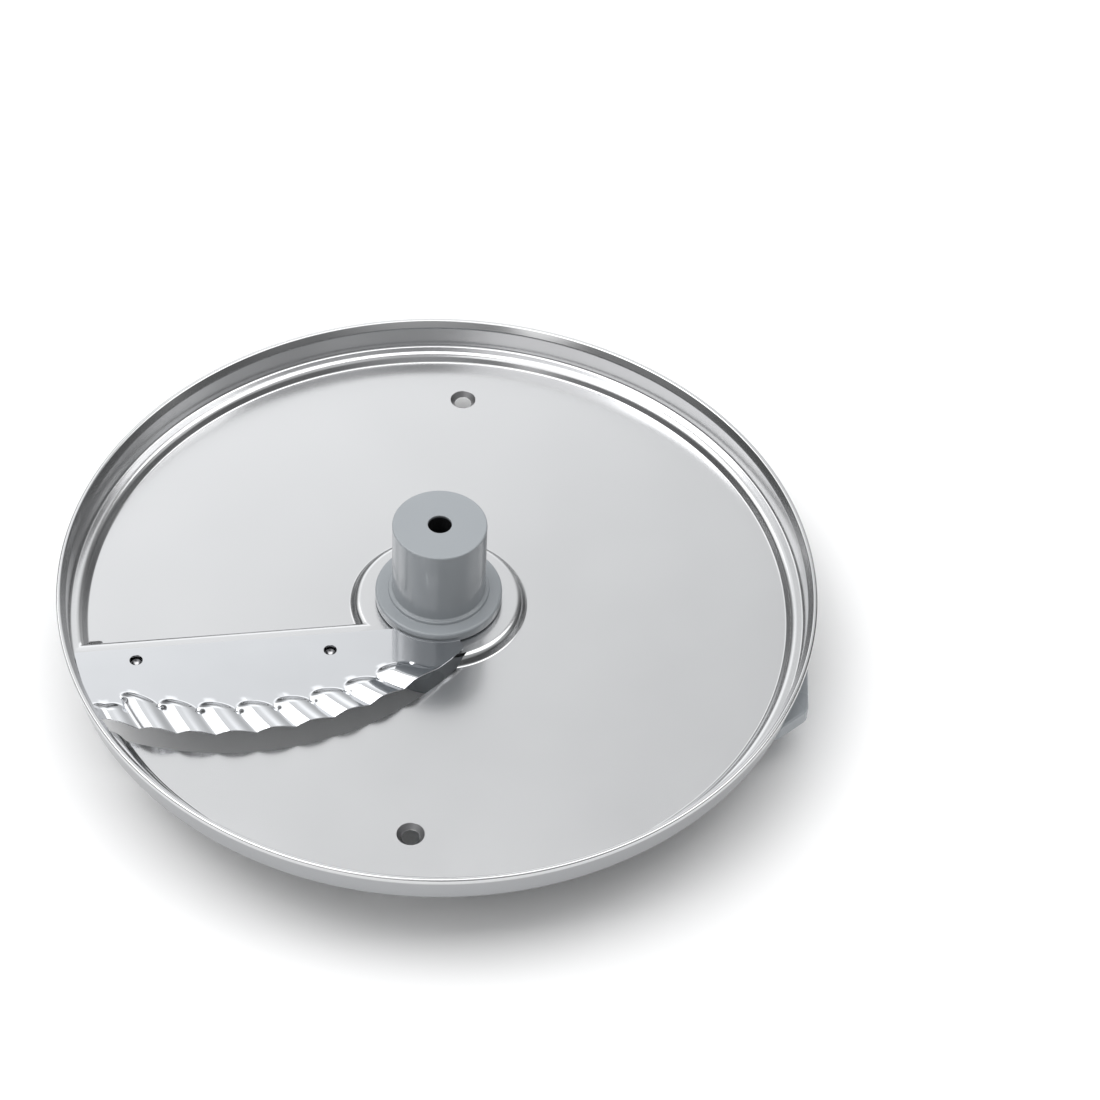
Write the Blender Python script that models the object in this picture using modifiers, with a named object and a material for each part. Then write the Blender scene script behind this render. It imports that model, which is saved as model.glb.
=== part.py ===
"""Ripple cut disc for a vegetable preparation machine.

A pressed steel plate with an upright rim carries a ripple blade on a raised seat. A grey moulded
hub stands on the plate and an ejector with two swept wings hangs under it. Metres, +Z up. The hub's
axis is Z, the blade's back edge runs along X, and the disc stands on the ejector's boss at Z = 0.
"""

import math

import bmesh
import bpy

# Plate
DISC_RADIUS = 0.0875          # outer edge of the lip
SHEET = 0.0012                # thickness of the plate
RIM_HEIGHT = 0.0093           # lip above the floor
STEP_HEIGHT = 0.0020          # ledge, blade seat and hub boss above the floor
RISER_RUN = 0.0013            # width of the slope between the two levels
LEDGE_WIDTH = 0.0026          # flat of the ledge inside the wall
LIP_FLARE = 0.0011            # how far the lip turns out from the wall
LIP_DEPTH = 0.0016            # height of the turned-out lip
LIP_ROUND = 0.0005
WALL_LEAN = 0.0004            # how far the wall leans out over its height
WALL_FILLET = 0.0006
CORNER_FILLET = 0.0016
STEP_FILLET = 0.0004
HUB_BOSS_RADIUS = 0.0204      # foot of the raised boss round the hub
PLATE_HOLE_TOP_RADIUS = 0.0031
PLATE_HOLE_RADIUS = 0.0020
PLATE_HOLE_FROM_RIM = 0.0194
PLATE_HOLE_ANGLE = math.radians(78.6)

# Blade and its seat
BLADE_SHEET = 0.0012
BLADE_BACK_Y = -0.0102        # back edge of the blade
SEAT_BACK_Y = -0.0051         # foot of the seat's slope behind the blade
EDGE_CENTRE_IN = (0.0405, 0.0505)   # an arc's centre lies this far in from the rim, along X and Y
EDGE_RADIUS_IN = 0.0128       # and its radius is this much under the disc's: the cutting edge
EDGE_TIP_ANGLE = math.radians(282)
EDGE_THICKNESS = 0.00022
BEVEL_WIDTH = 0.0030          # ground bevel under the cutting edge
RIPPLE_HEIGHT = 0.0013
RIPPLE_PITCH = 0.0070
RIPPLE_CREST = 0.42           # the crest's place between two creases, nearer the outer one
RIPPLE_CAP = 0.0034           # rounded back end of a ripple
RIPPLE_DRIFT = 0.0012         # how far a ripple moves outwards on its way to the edge
RIPPLE_FADE = 0.0120          # the drift fades over this width towards the rim
RIPPLE_START_CENTRE_IN = (0.0418, 0.0460)
RIPPLE_START_RADIUS_IN = 0.0177     # the ripples start along this arc
RIPPLE_CREASE_FROM_RIM = 0.0093     # crease outside the outermost full ripple
RIPPLE_INNERMOST = 0.0220     # no ripple reaches nearer the axis
RIM_RIPPLE_START = math.radians(198.5)   # a short ninth ripple fills the corner at the rim
MOUTH_CENTRE_IN = (0.0417, 0.0604)
MOUTH_RADIUS_IN = 0.0201      # front edge of the slicing mouth
MOUTH_INNER_RADIUS = 0.0182   # the mouth ends this far from the axis
BLADE_OVERHANG = 0.0157       # the blade stands out this far from the front edge of its seat
MOUTH_WALL_GAP = 0.0008       # ledge left between the mouth and the wall
MOUTH_STEPS = 24
RELIEF_SIZE = (0.0032, 0.0024)  # slot where the seat meets the ledge
RELIEF_ROUND = 0.0006
BLADE_SCREW_FROM_RIM = 0.0172
BLADE_SCREW_FROM_FLANGE = 0.0118
BLADE_SCREW_FROM_BACK = (0.0036, 0.0050)   # outer and inner screw, in from the blade's back edge

# Hub
HUB_RADIUS = 0.0108
HUB_HEIGHT = 0.0264           # top of the hub above the floor
FLANGE_RADIUS = 0.0147
FLANGE_HEIGHT = 0.0050        # top of the flange above the floor
FOOT_RING_RADIUS = 0.0117
FOOT_RING_HEIGHT = 0.0009     # low ring where the hub meets its flange
HUB_CHAMFER = 0.0004
FLANGE_ROUND = 0.0006
VENT_RADIUS = 0.0027
SOCKET_RADIUS = 0.0050        # bore for the drive shaft
SOCKET_FLAT = 0.0038          # flat of the bore, measured from the axis
SOCKET_TOP = 0.0205           # closed end of the bore above the floor

# Ejector
EJECTOR_DEPTH = 0.0130        # boss below the plate's underside
BOSS_RADIUS = 0.0160
WING_TIP_REACH = 0.0021       # the tip's two outer sides would meet this far outside the rim
WING_TIP_ANGLE = math.radians(-26.4)
WING_TIP_BACK = math.radians(10)   # the tip's long side leaves the rim this far behind its point
WING_TIP_FRONT = math.radians(6)   # and its end face meets the rim this far ahead
WING_TIP_SLOPE = 0.0030       # how far the long side falls back towards the rim
WING_TIP_END_SLOPE = 0.0048   # and how far the end face falls back
WING_TIP_DEPTH = 0.0115
WING_TIP_ROUND = 0.0030
WING_TIP_HEIGHT = 0.0040
WING_ROOT_ANGLE = math.radians(38.0)
WING_CURVE = 0.8              # under 1 the wing turns back most near its root
WING_THICKNESS = 0.0034
WING_FLAT_RADIUS = 0.0460     # the wing's lower edge is level out to here

# Fixings and fits
CLEARANCE = 0.0003
SCREW_RADIUS = 0.0012
SCREW_HEAD_RADIUS = 0.0022
SCREW_HEAD_HEIGHT = 0.0016
SCREW_KEY_RADIUS = 0.0010
SCREW_KEY_DEPTH = 0.0009
SCREW_END_RECESS = 0.0004     # blade screws end this far below the blade's top
HUB_SCREW_CIRCLE = 0.0083
HUB_SCREW_COUNT = 3
HUB_SCREW_ANGLE = math.radians(76)
HUB_SCREW_GRIP = 0.0080       # thread in the hub
HUB_SCREW_SEAT = 0.0050       # head seat below the plate's floor

RIM_STEPS = 84
HUB_STEPS = 44
SOCKET_STEPS = 28
HOLE_STEPS = 16
SLOPE_STEPS = 4
WING_STEPS = 12
OVERCUT = 0.0010              # how far a cutter runs past the face that it opens

# Heights and radii that follow from the sizes above
FLOOR_Z = EJECTOR_DEPTH + CLEARANCE + SHEET
SEAT_Z = FLOOR_Z + STEP_HEIGHT
UNDERSIDE_Z = FLOOR_Z - SHEET
RAISED_UNDERSIDE_Z = SEAT_Z - SHEET
LIP_Z = FLOOR_Z + RIM_HEIGHT
WALL_TOP_INNER = DISC_RADIUS - LIP_FLARE - SHEET + WALL_LEAN / 2
WALL_FOOT_INNER = WALL_TOP_INNER - WALL_LEAN
LEDGE_INNER = WALL_FOOT_INNER - LEDGE_WIDTH
FLOOR_RADIUS = LEDGE_INNER - RISER_RUN
BLADE_BOTTOM = SEAT_Z + CLEARANCE
BLADE_TOP = BLADE_BOTTOM + BLADE_SHEET
BLADE_INNER = FLANGE_RADIUS + CLEARANCE
BLADE_OUTER = WALL_FOOT_INNER - CLEARANCE
EDGE_CENTRE = (EDGE_CENTRE_IN[0] - DISC_RADIUS, DISC_RADIUS - EDGE_CENTRE_IN[1])
EDGE_RADIUS = DISC_RADIUS - EDGE_RADIUS_IN
SEAT_FRONT_RADIUS = EDGE_RADIUS - BLADE_OVERHANG
RIPPLE_START_CENTRE = (RIPPLE_START_CENTRE_IN[0] - DISC_RADIUS,
                       DISC_RADIUS - RIPPLE_START_CENTRE_IN[1])
RIPPLE_START_RADIUS = DISC_RADIUS - RIPPLE_START_RADIUS_IN
RIPPLE_CREASE = DISC_RADIUS - RIPPLE_CREASE_FROM_RIM
RIPPLE_COUNT = int((RIPPLE_CREASE - RIPPLE_INNERMOST) / RIPPLE_PITCH)
MOUTH_CENTRE = (MOUTH_CENTRE_IN[0] - DISC_RADIUS, DISC_RADIUS - MOUTH_CENTRE_IN[1])
MOUTH_RADIUS = DISC_RADIUS - MOUTH_RADIUS_IN
BLADE_SCREWS = (
    (BLADE_SCREW_FROM_RIM - DISC_RADIUS, BLADE_BACK_Y - BLADE_SCREW_FROM_BACK[0]),
    (-FLANGE_RADIUS - BLADE_SCREW_FROM_FLANGE, BLADE_BACK_Y - BLADE_SCREW_FROM_BACK[1]),
)
PLATE_HOLE_CENTRE_RADIUS = DISC_RADIUS - PLATE_HOLE_FROM_RIM
WING_TIP_RADIUS = DISC_RADIUS + WING_TIP_REACH
HUB_BOTTOM = SEAT_Z + CLEARANCE
EJECTOR_TOP = RAISED_UNDERSIDE_Z - CLEARANCE
WING_TOP = UNDERSIDE_Z - CLEARANCE
PLATE_BORE = SOCKET_RADIUS + CLEARANCE
SCREW_HOLE = SCREW_RADIUS + CLEARANCE


def clear_scene():
    for item in list(bpy.data.objects):
        bpy.data.objects.remove(item, do_unlink=True)


def make_collection(name):
    group = bpy.data.collections.new(name)
    bpy.context.scene.collection.children.link(group)
    return group


def make_material(name, colour, roughness, metallic):
    material = bpy.data.materials.new(name)
    material.use_nodes = True
    shader = material.node_tree.nodes["Principled BSDF"]
    shader.inputs["Base Color"].default_value = (*colour, 1.0)
    shader.inputs["Roughness"].default_value = roughness
    shader.inputs["Metallic"].default_value = metallic
    material.diffuse_color = (*colour, 1.0)
    return material


def add_object(name, mesh, group, material=None):
    item = bpy.data.objects.new(name, mesh)
    group.objects.link(item)
    if material:
        mesh.materials.append(material)
        mesh.shade_smooth()
        mesh.set_sharp_from_angle(angle=math.radians(30))
    else:
        item.display_type = "WIRE"
        item.hide_render = True
    return item


def polar(radius, angle):
    return radius * math.cos(angle), radius * math.sin(angle)


def arc(centre, radius, start, end, steps):
    """Points on an arc from one angle to another, both ends included."""
    return [
        (centre[0] + radius * math.cos(start + (end - start) * i / steps),
         centre[1] + radius * math.sin(start + (end - start) * i / steps))
        for i in range(steps + 1)
    ]


def angle_on_hub_circle(radius, centre, arc_radius):
    """Angle at which an arc with its own centre crosses a circle about the hub, on the blade's side."""
    distance = math.hypot(*centre)
    cosine = (radius**2 + distance**2 - arc_radius**2) / (2 * radius * distance)
    turn = math.acos(max(-1.0, min(1.0, cosine)))
    return math.atan2(centre[1], centre[0]) + turn


def angle_about(centre, point):
    return math.atan2(point[1] - centre[1], point[0] - centre[0])


def rounded(corners, steps=4):
    """A path through (x, y, fillet) corners, each fillet an arc. The path is closed."""
    path = []
    for i, (x, y, fillet) in enumerate(corners):
        before, after = corners[i - 1], corners[(i + 1) % len(corners)]
        if fillet <= 0:
            path.append((x, y))
            continue
        back = (before[0] - x, before[1] - y)
        ahead = (after[0] - x, after[1] - y)
        back_length, ahead_length = math.hypot(*back), math.hypot(*ahead)
        u = (back[0] / back_length, back[1] / back_length)
        v = (ahead[0] / ahead_length, ahead[1] / ahead_length)
        half = math.acos(max(-1.0, min(1.0, u[0] * v[0] + u[1] * v[1]))) / 2
        reach = min(fillet / math.tan(half), 0.45 * back_length, 0.45 * ahead_length)
        radius = reach * math.tan(half)
        middle = (u[0] + v[0], u[1] + v[1])
        scale = radius / math.sin(half) / math.hypot(*middle)
        centre = (x + middle[0] * scale, y + middle[1] * scale)
        start = angle_about(centre, (x + u[0] * reach, y + u[1] * reach))
        end = angle_about(centre, (x + v[0] * reach, y + v[1] * reach))
        sweep = (end - start + math.pi) % (2 * math.pi) - math.pi
        path += arc(centre, radius, start, start + sweep, steps)
    return path


def turned(name, profile, group, steps, material=None, on_axis=False):
    """A solid of revolution from an (r, z) profile that runs down its outer side."""
    mesh = bpy.data.meshes.new(name)
    edges = [(i, i + 1) for i in range(len(profile) - 1)]
    if not on_axis:
        edges.append((len(profile) - 1, 0))
    mesh.from_pydata([(r, 0.0, z) for r, z in profile], edges, [])
    item = add_object(name, mesh, group)
    turn = item.modifiers.new("turn", "SCREW")
    turn.steps = turn.render_steps = steps
    turn.use_merge_vertices = True
    turn.merge_threshold = 0.00001
    turn.use_normal_calculate = True
    return as_mesh(item, material)


def as_mesh(item, material=None):
    """Replaces an object by the mesh that its modifiers make, with its faces pointing out."""
    bpy.context.view_layer.update()
    graph = bpy.context.evaluated_depsgraph_get()
    mesh = bpy.data.meshes.new_from_object(item.evaluated_get(graph))
    name, group = item.name, item.users_collection[0]
    bpy.data.objects.remove(item, do_unlink=True)
    faces = bmesh.new()
    faces.from_mesh(mesh)
    bmesh.ops.remove_doubles(faces, verts=faces.verts, dist=0.000001)
    bmesh.ops.recalc_face_normals(faces, faces=faces.faces)
    if faces.calc_volume(signed=True) < 0:
        bmesh.ops.reverse_faces(faces, faces=faces.faces)
    faces.to_mesh(mesh)
    faces.free()
    mesh.materials.clear()
    return add_object(name, mesh, group, material)


def lofted(name, outlines, group, material=None):
    """A solid through outlines with equal numbers of points, each given as (points, z), going up."""
    shape = bmesh.new()
    rings = [[shape.verts.new((x, y, z)) for x, y in points] for points, z in outlines]
    shape.faces.new(rings[0][::-1])
    shape.faces.new(rings[-1])
    for low, high in zip(rings, rings[1:]):
        for i in range(len(low)):
            j = (i + 1) % len(low)
            shape.faces.new((low[i], low[j], high[j], high[i]))
    bmesh.ops.recalc_face_normals(shape, faces=shape.faces)
    mesh = bpy.data.meshes.new(name)
    shape.to_mesh(mesh)
    shape.free()
    return add_object(name, mesh, group, material)


def prism(name, points, bottom, top, group, material=None):
    return lofted(name, [(points, bottom), (points, top)], group, material)


def cylinder(name, radius, bottom, top, centre, group, steps=HOLE_STEPS, top_radius=None):
    shape = bmesh.new()
    bmesh.ops.create_cone(
        shape, cap_ends=True, segments=steps, radius1=radius,
        radius2=radius if top_radius is None else top_radius, depth=top - bottom,
    )
    mesh = bpy.data.meshes.new(name)
    shape.to_mesh(mesh)
    shape.free()
    item = add_object(name, mesh, group)
    item.location = (*centre, (top + bottom) / 2)
    return item


def combine(item, other, operation):
    step = item.modifiers.new(other.name, "BOOLEAN")
    step.operation = operation
    step.object = other
    step.solver = "EXACT"


def hub_screw_places():
    return [polar(HUB_SCREW_CIRCLE, math.tau * i / HUB_SCREW_COUNT + HUB_SCREW_ANGLE)
            for i in range(HUB_SCREW_COUNT)]


# Plate

def plate_profile():
    """Section of the plate before its floor and its raised parts are pressed."""
    outer_foot = WALL_FOOT_INNER + SHEET
    outer_top = WALL_TOP_INNER + SHEET
    return rounded([
        (WALL_TOP_INNER + LIP_FLARE, LIP_Z, LIP_ROUND),
        (DISC_RADIUS, LIP_Z, LIP_ROUND),
        (DISC_RADIUS, LIP_Z - SHEET, LIP_ROUND / 2),
        (outer_top, LIP_Z - LIP_DEPTH - SHEET / 2, LIP_DEPTH / 2),
        (outer_foot, RAISED_UNDERSIDE_Z, CORNER_FILLET),
        (LEDGE_INNER, RAISED_UNDERSIDE_Z, STEP_FILLET),
        (FLOOR_RADIUS, UNDERSIDE_Z, STEP_FILLET),
        (PLATE_BORE, UNDERSIDE_Z, 0),
        (PLATE_BORE, SEAT_Z, 0),
        (WALL_FOOT_INNER, SEAT_Z, WALL_FILLET),
        (WALL_TOP_INNER, LIP_Z - LIP_DEPTH, LIP_DEPTH / 2),
    ], steps=2)


def mouth_points(edge_radius, centre, inner, outer):
    """Points along an arc of the slicing mouth, from the circle near the hub out to the rim."""
    start = polar(inner, angle_on_hub_circle(inner, centre, edge_radius))
    end = polar(outer, angle_on_hub_circle(outer, centre, edge_radius))
    return arc(centre, edge_radius, angle_about(centre, start), angle_about(centre, end),
               MOUTH_STEPS)


def pressed_outline(boss, back, rim, keep_floor):
    """Outline of the sunk floor, or of the raised boss and seat, at one height of their slope.

    Both share the boss circle, the line behind the blade and an arc that the mouth cuts away.
    """
    between = (EDGE_RADIUS + SEAT_FRONT_RADIUS) / 2
    lost = mouth_points(between, EDGE_CENTRE, boss, rim)
    boss_end = angle_about((0, 0), lost[0])
    rim_end = angle_about((0, 0), lost[-1])
    boss_start = math.pi - math.asin(back / boss)
    rim_start = math.pi - math.asin(back / rim)
    boss_arc = arc((0, 0), boss, boss_start, boss_end % math.tau - math.tau, HUB_STEPS * 3 // 4)
    if keep_floor:
        rim_arc = arc((0, 0), rim, rim_end % math.tau - math.tau, rim_start, RIM_STEPS)
    else:
        rim_arc = arc((0, 0), rim, rim_end % math.tau, rim_start, 6)
    return (boss_arc + lost[1:] + rim_arc[1:])[::-1 if keep_floor else 1]


def smooth_step(share):
    return share * share * (3 - 2 * share)


def make_plate(parts, cutters):
    plate = turned("disc_plate", plate_profile(), parts, RIM_STEPS)

    # The floor is pressed down between the boss and the ledge, with a soft slope all round
    sunk = []
    for i in range(SLOPE_STEPS + 1):
        share = i / SLOPE_STEPS
        run = RISER_RUN * share
        height = FLOOR_Z + STEP_HEIGHT * smooth_step(share)
        sunk.append((pressed_outline(HUB_BOSS_RADIUS - run, SEAT_BACK_Y - run,
                                     FLOOR_RADIUS + run, True), height))
    sunk.append((sunk[-1][0], SEAT_Z + OVERCUT))
    combine(plate, lofted("floor_recess", sunk, cutters), "DIFFERENCE")

    # The underside follows, one sheet thickness below
    hollow = []
    extra = OVERCUT / STEP_HEIGHT
    for share in (-extra, 1.0):
        run = SHEET / 2 + RISER_RUN * share
        height = UNDERSIDE_Z + STEP_HEIGHT * share
        hollow.append((pressed_outline(HUB_BOSS_RADIUS - run, SEAT_BACK_Y - run,
                                       LEDGE_INNER + SHEET / 2, False), height))
    combine(plate, lofted("raised_hollow", hollow, cutters), "DIFFERENCE")

    # Slicing mouth
    inner = MOUTH_INNER_RADIUS
    outer = WALL_FOOT_INNER - MOUTH_WALL_GAP
    front = mouth_points(MOUTH_RADIUS, MOUTH_CENTRE, inner, outer)
    back = mouth_points(SEAT_FRONT_RADIUS, EDGE_CENTRE, inner, outer)
    rim = arc((0, 0), outer, angle_about((0, 0), front[-1]), angle_about((0, 0), back[-1]), 4)
    boss = arc((0, 0), inner, angle_about((0, 0), back[0]), angle_about((0, 0), front[0]), 8)
    outline = front + rim[1:] + back[::-1][1:] + boss[1:-1]
    combine(plate, prism("mouth", outline, UNDERSIDE_Z - OVERCUT, SEAT_Z + OVERCUT / 2, cutters),
            "DIFFERENCE")

    # Relief slot at the outer end of the seat's slope, and holes for the fixings
    low, high = UNDERSIDE_Z - OVERCUT, SEAT_Z + OVERCUT
    left = -math.sqrt(FLOOR_RADIUS**2 - SEAT_BACK_Y**2)
    front = SEAT_BACK_Y - RISER_RUN
    slot = rounded([
        (left, front, RELIEF_ROUND),
        (left + RELIEF_SIZE[0], front, RELIEF_ROUND),
        (left + RELIEF_SIZE[0], front + RELIEF_SIZE[1], RELIEF_ROUND),
        (left, front + RELIEF_SIZE[1], RELIEF_ROUND),
    ])
    combine(plate, prism("relief", slot, low, high, cutters), "DIFFERENCE")
    for i, place in enumerate(BLADE_SCREWS, 1):
        hole = cylinder(f"blade_screw_hole_{i}", SCREW_HOLE, low, high, place, cutters)
        combine(plate, hole, "DIFFERENCE")
    for i, place in enumerate(hub_screw_places(), 1):
        hole = cylinder(f"hub_screw_hole_{i}", SCREW_HOLE, low, high, place, cutters)
        combine(plate, hole, "DIFFERENCE")

    # Two countersunk holes across the floor
    slope = (PLATE_HOLE_TOP_RADIUS - PLATE_HOLE_RADIUS) / SHEET
    over = OVERCUT / 4
    for i in range(2):
        place = polar(PLATE_HOLE_CENTRE_RADIUS, PLATE_HOLE_ANGLE + math.pi * i)
        hole = cylinder(f"plate_hole_{i + 1}", PLATE_HOLE_RADIUS - slope * over, UNDERSIDE_Z - over,
                        FLOOR_Z + over, place, cutters,
                        top_radius=PLATE_HOLE_TOP_RADIUS + slope * over)
        combine(plate, hole, "DIFFERENCE")
    steel = make_material("plate_steel", (0.62, 0.63, 0.64), 0.28, 1.0)
    return as_mesh(plate, steel)


# Blade

def ripple_start(radius):
    """Angle at which the blade starts to rise, at a given radius."""
    if radius > RIPPLE_CREASE:
        return RIM_RIPPLE_START
    return angle_on_hub_circle(radius, RIPPLE_START_CENTRE, RIPPLE_START_RADIUS)


def ripple_drift(radius):
    """How far outwards a ripple moves between its start and the edge. It fades at both ends."""
    at_rim = min(1.0, max(0.0, (RIPPLE_CREASE - radius) / RIPPLE_FADE))
    at_hub = min(1.0, max(0.0, (radius - MOUTH_INNER_RADIUS) / (RIPPLE_FADE / 2)))
    return RIPPLE_DRIFT * at_rim * at_hub


def ripple_height(radius, along):
    """Height of the blade's top over its flat, a given way along the ripple that starts at a radius.

    Round fingers lie side by side with a crease between them. Each has a rounded back end, and its
    outer flank is steeper than its inner one.
    """
    place = (RIPPLE_CREASE - radius) / RIPPLE_PITCH
    number = math.floor(place)
    if number < -1 or number >= RIPPLE_COUNT:
        return 0.0
    share = place - number
    if share < RIPPLE_CREST:
        across = 1 - share / RIPPLE_CREST
    else:
        across = (share - RIPPLE_CREST) / (1 - RIPPLE_CREST)
    behind = max(0.0, 1 - along / RIPPLE_CAP)
    distance = math.hypot(across, behind)
    if distance >= 1:
        return 0.0
    return RIPPLE_HEIGHT * math.cos(math.pi / 2 * distance)


def blade_rows():
    """Radii of the blade's grid lines, one of them on each crease and coarser ones near the hub."""
    innermost = RIPPLE_CREASE - RIPPLE_PITCH * RIPPLE_COUNT
    coarse = max(2, round((innermost - BLADE_INNER) * 2 / RIPPLE_PITCH))
    rows = [BLADE_INNER + (innermost - BLADE_INNER) * i / coarse for i in range(coarse)]
    fine = int((BLADE_OUTER - innermost) / RIPPLE_PITCH * 7)
    rows += [innermost + RIPPLE_PITCH * i / 7 for i in range(fine)]
    return rows + [BLADE_OUTER]


def make_blade(parts, cutters):
    shape = bmesh.new()
    grid = []
    tapers = []
    for radius in blade_rows():
        drift = ripple_drift(radius)
        tip = radius + drift
        back = math.pi - math.asin(BLADE_BACK_Y / radius)
        edge = min(angle_on_hub_circle(tip, EDGE_CENTRE, EDGE_RADIUS), EDGE_TIP_ANGLE)
        bevel = edge - BEVEL_WIDTH / tip
        start = min(ripple_start(radius), bevel - RIPPLE_CAP / radius)
        end = start + RIPPLE_CAP / radius
        angles = [back + (start - back) * i / 2 for i in range(2)]
        angles += [start + (end - start) * i / 4 for i in range(4)]
        angles += [end + (bevel - end) * i / 2 for i in range(2)]
        angles += [bevel, edge]
        row = []
        for angle in angles:
            share = max(0.0, (angle - start) / (edge - start))
            height = ripple_height(radius, radius * (angle - start))
            place = polar(radius + drift * share, angle)
            row.append(shape.verts.new((*place, BLADE_TOP + height)))
        grid.append(row)
        tapers.append(row[-1])
    for inner, outer in zip(grid, grid[1:]):
        for i in range(len(inner) - 1):
            shape.faces.new((inner[i], outer[i], outer[i + 1], inner[i + 1]))
    bmesh.ops.recalc_face_normals(shape, faces=shape.faces)
    if sum(face.normal.z for face in shape.faces) < 0:
        bmesh.ops.reverse_faces(shape, faces=shape.faces)
    shape.verts.index_update()
    thin = {vertex.index for vertex in tapers}
    mesh = bpy.data.meshes.new("ripple_blade")
    shape.to_mesh(mesh)
    shape.free()
    blade = add_object("ripple_blade", mesh, parts)

    # The bevel is ground from below, so the sheet keeps its top and thins at the cutting edge
    full = blade.vertex_groups.new(name="thickness")
    for vertex in mesh.vertices:
        share = EDGE_THICKNESS / BLADE_SHEET if vertex.index in thin else 1.0
        full.add([vertex.index], share, "REPLACE")
    wall = blade.modifiers.new("sheet", "SOLIDIFY")
    wall.thickness = BLADE_SHEET
    wall.offset = -1
    wall.vertex_group = full.name
    for i, place in enumerate(BLADE_SCREWS, 1):
        hole = cylinder(f"blade_thread_{i}", SCREW_HOLE, BLADE_BOTTOM - OVERCUT,
                        BLADE_TOP + OVERCUT, place, cutters)
        combine(blade, hole, "DIFFERENCE")
    steel = make_material("blade_steel", (0.70, 0.71, 0.73), 0.10, 1.0)
    return as_mesh(blade, steel)


# Hub

def socket_outline():
    """Round bore with one flat."""
    half = math.acos(SOCKET_FLAT / SOCKET_RADIUS)
    return arc((0, 0), SOCKET_RADIUS, half, math.tau - half, SOCKET_STEPS)


def make_hub(parts, cutters):
    top = FLOOR_Z + HUB_HEIGHT
    flange = FLOOR_Z + FLANGE_HEIGHT
    profile = rounded([
        (VENT_RADIUS, top, 0.0002),
        (HUB_RADIUS, top, HUB_CHAMFER),
        (HUB_RADIUS, flange + FOOT_RING_HEIGHT, HUB_CHAMFER),
        (FOOT_RING_RADIUS, flange + FOOT_RING_HEIGHT, HUB_CHAMFER),
        (FOOT_RING_RADIUS, flange, 0),
        (FLANGE_RADIUS, flange, FLANGE_ROUND),
        (FLANGE_RADIUS, HUB_BOTTOM, CLEARANCE),
        (VENT_RADIUS, HUB_BOTTOM, 0),
    ], steps=2)
    hub = turned("drive_hub", profile, parts, HUB_STEPS)
    bore = prism("hub_socket", socket_outline(), HUB_BOTTOM - OVERCUT, FLOOR_Z + SOCKET_TOP, cutters)
    combine(hub, bore, "DIFFERENCE")
    for i, place in enumerate(hub_screw_places(), 1):
        hole = cylinder(f"hub_thread_{i}", SCREW_HOLE, HUB_BOTTOM - OVERCUT,
                        HUB_BOTTOM + HUB_SCREW_GRIP + CLEARANCE, place, cutters)
        combine(hub, hole, "DIFFERENCE")
    plastic = make_material("hub_plastic", (0.42, 0.45, 0.47), 0.38, 0.0)
    return as_mesh(hub, plastic)


# Ejector

def wing_outline():
    """One wing seen from above: a swept vane that ends inside the broad tip under the rim."""
    vane_end = WING_TIP_RADIUS - WING_TIP_DEPTH / 2
    root = BOSS_RADIUS - WING_THICKNESS
    centre_line = []
    for i in range(WING_STEPS + 1):
        share = i / WING_STEPS
        radius = root + (vane_end - root) * share
        angle = WING_ROOT_ANGLE + (WING_TIP_ANGLE - WING_ROOT_ANGLE) * share**WING_CURVE
        centre_line.append(polar(radius, angle))
    left, right = [], []
    for i, (x, y) in enumerate(centre_line):
        ahead = centre_line[min(i + 1, WING_STEPS)]
        behind = centre_line[max(i - 1, 0)]
        run = math.hypot(ahead[0] - behind[0], ahead[1] - behind[1])
        side = ((behind[1] - ahead[1]) / run, (ahead[0] - behind[0]) / run)
        half = WING_THICKNESS / 2
        left.append((x + side[0] * half, y + side[1] * half))
        right.append((x - side[0] * half, y - side[1] * half))
    return right + left[::-1]


def tip_outline():
    """The wing's tip: a rounded block with two outer sides that meet at a blunt point."""
    back = WING_TIP_ANGLE + WING_TIP_BACK
    front = WING_TIP_ANGLE - WING_TIP_FRONT
    inner = WING_TIP_RADIUS - WING_TIP_DEPTH
    return rounded([
        (*polar(inner, front), WING_TIP_ROUND),
        (*polar(WING_TIP_RADIUS - WING_TIP_END_SLOPE, front), WING_TIP_ROUND),
        (*polar(WING_TIP_RADIUS, WING_TIP_ANGLE), WING_TIP_ROUND),
        (*polar(WING_TIP_RADIUS - WING_TIP_SLOPE, back), WING_TIP_ROUND),
        (*polar(inner, back), WING_TIP_ROUND),
    ], steps=5)


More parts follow.
